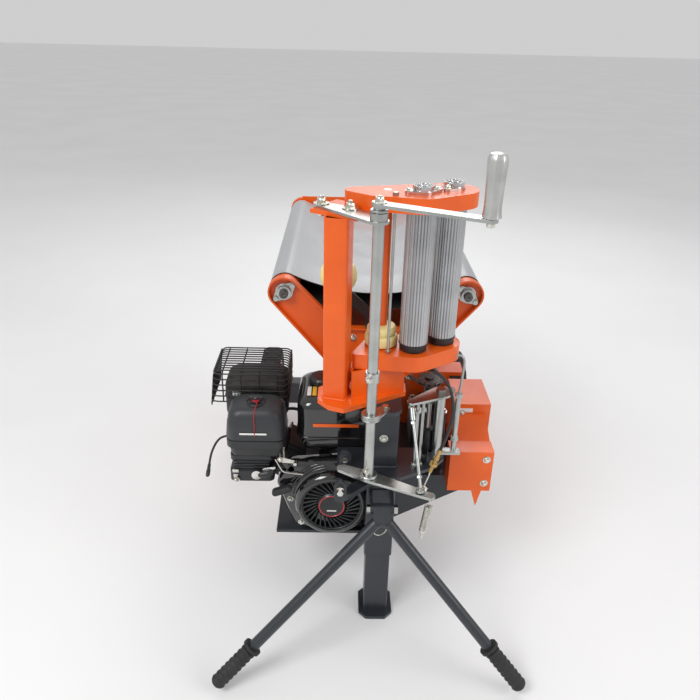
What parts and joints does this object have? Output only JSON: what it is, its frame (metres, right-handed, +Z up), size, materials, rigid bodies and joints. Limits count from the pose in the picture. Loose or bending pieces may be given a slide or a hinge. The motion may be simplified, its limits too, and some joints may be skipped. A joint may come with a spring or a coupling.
{
  "type": "round bale wrapping machine",
  "caption": "Small walk-behind round-bale wrapper: belt roller table on a turntable, film stretching post with crank, petrol engine and wheeled chassis with pull handles.",
  "frame": {"origin": "on the ground, under the vertical axis that the roller table turns about", "axes": "+Z up, +X to the operator's right across the machine, -Y towards the operator, so the film post and the pull handles are at -Y and the wheels at +Y"},
  "size_m": [0.7456, 1.2708, 1.151],
  "materials": {
    "orange_paint": "gloss",
    "chassis_paint": "satin",
    "black_paint": "satin",
    "zinc_steel": "satin",
    "dark_steel": "satin",
    "bearing_steel": "gloss",
    "film_roller_alloy": "satin",
    "crank_grip_alloy": "gloss",
    "engine_alloy": "matt",
    "belt_pvc": "gloss",
    "black_rubber": "matt",
    "tyre_rubber": "matt",
    "cream_nylon": "matt",
    "black_plastic": "gloss",
    "grey_plastic": "satin"
  },
  "bodies": {
    "chassis": {"main_frame": "chassis_paint", "front_column": "chassis_paint", "deck_plates": "chassis_paint", "axle": "dark_steel", "film_post": "orange_paint", "lower_arm": "orange_paint", "upper_arm": "orange_paint", "film_bearings": "bearing_steel", "spindle_rod": "zinc_steel", "shaft_brackets": "zinc_steel", "pivot_post": "zinc_steel", "small_bolts": "zinc_steel", "cable_sheath": "black_plastic", "cable_adjuster": "zinc_steel", "engine_block": "engine_alloy", "recoil_cover": "black_plastic", "fuel_tank": "black_plastic", "air_cleaner_base": "black_plastic", "air_cleaner_cover": "grey_plastic", "carburettor_housing": "black_plastic", "muffler": "dark_steel", "muffler_guard": "black_paint", "kill_lead": "black_plastic", "lead_connector": "grey_plastic", "gearbox": "black_paint", "drive_belt": "black_rubber", "table_chain": "dark_steel", "rear_guards": "orange_paint", "guard_front": "orange_paint"},
    "table": {"table_frame": "orange_paint", "end_plates": "orange_paint", "table_bearings": "bearing_steel", "turntable_hub": "dark_steel", "end_stop_arm": "black_paint", "bale_belt": "belt_pvc"},
    "table_roller_left": {"table_roller_left": "orange_paint"},
    "table_roller_right": {"table_roller_right": "orange_paint"},
    "end_stop_roller": {"end_stop_roller": "cream_nylon"},
    "film_roller_a": {"film_roller_a": "film_roller_alloy"},
    "film_roller_b": {"film_roller_b": "film_roller_alloy"},
    "film_spindle": {"film_cone": "cream_nylon", "spindle_tube": "zinc_steel"},
    "control_shaft": {"control_shaft": "zinc_steel", "link_rod": "zinc_steel", "return_spring": "dark_steel"},
    "crank_grip": {"crank_grip": "crank_grip_alloy"},
    "indicator_lever": {"indicator_lever": "zinc_steel"},
    "tow_handle": {"handle_tube_left": "chassis_paint", "handle_tube_right": "chassis_paint", "handle_grips": "black_rubber"},
    "support_leg": {"support_leg": "chassis_paint"},
    "leg_lock_pin": {"leg_lock_pin": "zinc_steel"},
    "wheel_left": {"wheel_left": "tyre_rubber"},
    "wheel_right": {"wheel_right": "tyre_rubber"},
    "recoil_grip": {"recoil_grip": "black_rubber"},
    "throttle_lever": {"throttle_lever": "zinc_steel"},
    "fuel_cap": {"fuel_cap": "black_plastic"},
    "crankshaft_pulley": {"crankshaft_pulley": "dark_steel"},
    "driven_pulley": {"driven_pulley": "dark_steel"},
    "gearbox_sprocket": {"gearbox_sprocket": "dark_steel"}
  },
  "joints": [
    {"name": "table_turn", "type": "hinge", "parent": "chassis", "child": "table", "pos_m": [0, 0, 0.5], "axis": [0, 0, 1], "continuous": true},
    {"name": "roller_left_turn", "type": "hinge", "parent": "table", "child": "table_roller_left", "pos_m": [-0.215, 0, 0.755], "axis": [0, 1, 0], "continuous": true},
    {"name": "roller_right_turn", "type": "hinge", "parent": "table", "child": "table_roller_right", "pos_m": [0.215, 0, 0.755], "axis": [0, 1, 0], "continuous": true},
    {"name": "end_stop_turn", "type": "hinge", "parent": "table", "child": "end_stop_roller", "pos_m": [-0.088, -0.424, 0.8], "axis": [0, 0, 1], "continuous": true},
    {"name": "film_roller_a_turn", "type": "hinge", "parent": "chassis", "child": "film_roller_a", "pos_m": [0.071, -0.585, 0.85], "axis": [0, 0, 1], "continuous": true},
    {"name": "film_roller_b_turn", "type": "hinge", "parent": "chassis", "child": "film_roller_b", "pos_m": [0.134, -0.545, 0.85], "axis": [0, 0, 1], "continuous": true},
    {"name": "film_spindle_turn", "type": "hinge", "parent": "chassis", "child": "film_spindle", "pos_m": [0.005, -0.562, 0.85], "axis": [0, 0, 1], "continuous": true},
    {"name": "control_crank_turn", "type": "hinge", "parent": "chassis", "child": "control_shaft", "pos_m": [-0.017, -0.692, 0.7], "axis": [0, 0, 1], "range_deg": [0, 11]},
    {"name": "crank_grip_turn", "type": "hinge", "parent": "control_shaft", "child": "crank_grip", "pos_m": [0.1612, -0.7828, 1.1], "axis": [0, 0, 1], "continuous": true},
    {"name": "indicator_turn", "type": "hinge", "parent": "chassis", "child": "indicator_lever", "pos_m": [0.137, -0.6, 0.614], "axis": [0, 0, 1], "range_deg": [-14.2, 0]},
    {"name": "tow_handle_lift", "type": "hinge", "parent": "chassis", "child": "tow_handle", "pos_m": [0.016, -0.69, 0.372], "axis": [-1, 0, 0], "range_deg": [0, 75]},
    {"name": "support_leg_lift", "type": "slide", "parent": "chassis", "child": "support_leg", "axis": [0, 0, 1], "range_m": [0, 0.08]},
    {"name": "leg_lock_pull", "type": "slide", "parent": "chassis", "child": "leg_lock_pin", "axis": [0, -1, 0], "range_m": [0, 0.012]},
    {"name": "wheel_left_turn", "type": "hinge", "parent": "chassis", "child": "wheel_left", "pos_m": [-0.315, 0.22, 0.15], "axis": [1, 0, 0], "continuous": true},
    {"name": "wheel_right_turn", "type": "hinge", "parent": "chassis", "child": "wheel_right", "pos_m": [0.315, 0.22, 0.15], "axis": [1, 0, 0], "continuous": true},
    {"name": "recoil_pull", "type": "slide", "parent": "chassis", "child": "recoil_grip", "axis": [0, -1, 0], "range_m": [0, 0.4]},
    {"name": "throttle_turn", "type": "hinge", "parent": "chassis", "child": "throttle_lever", "pos_m": [-0.214, -0.585, 0.424], "axis": [0, 1, 0], "range_deg": [0, 35]},
    {"name": "fuel_cap_turn", "type": "hinge", "parent": "chassis", "child": "fuel_cap", "pos_m": [-0.122, -0.47, 0.575], "axis": [0, 0, 1], "range_deg": [0, 90]},
    {"name": "crankshaft_turn", "type": "hinge", "parent": "chassis", "child": "crankshaft_pulley", "pos_m": [-0.095, -0.23, 0.308], "axis": [0, 1, 0], "continuous": true},
    {"name": "driven_pulley_turn", "type": "hinge", "parent": "chassis", "child": "driven_pulley", "pos_m": [0.15, -0.23, 0.38], "axis": [0, 1, 0], "continuous": true},
    {"name": "gearbox_sprocket_turn", "type": "hinge", "parent": "chassis", "child": "gearbox_sprocket", "pos_m": [0.15, -0.33, 0.5], "axis": [0, 0, 1], "continuous": true}
  ],
  "couplings": [
    {"joint": "roller_right_turn", "follows": "roller_left_turn", "ratio": 1},
    {"joint": "film_roller_b_turn", "follows": "film_roller_a_turn", "ratio": -1.3},
    {"joint": "indicator_turn", "follows": "control_crank_turn", "ratio": -1.29},
    {"joint": "driven_pulley_turn", "follows": "crankshaft_turn", "ratio": 0.6429},
    {"joint": "gearbox_sprocket_turn", "follows": "table_turn", "ratio": 3}
  ]
}
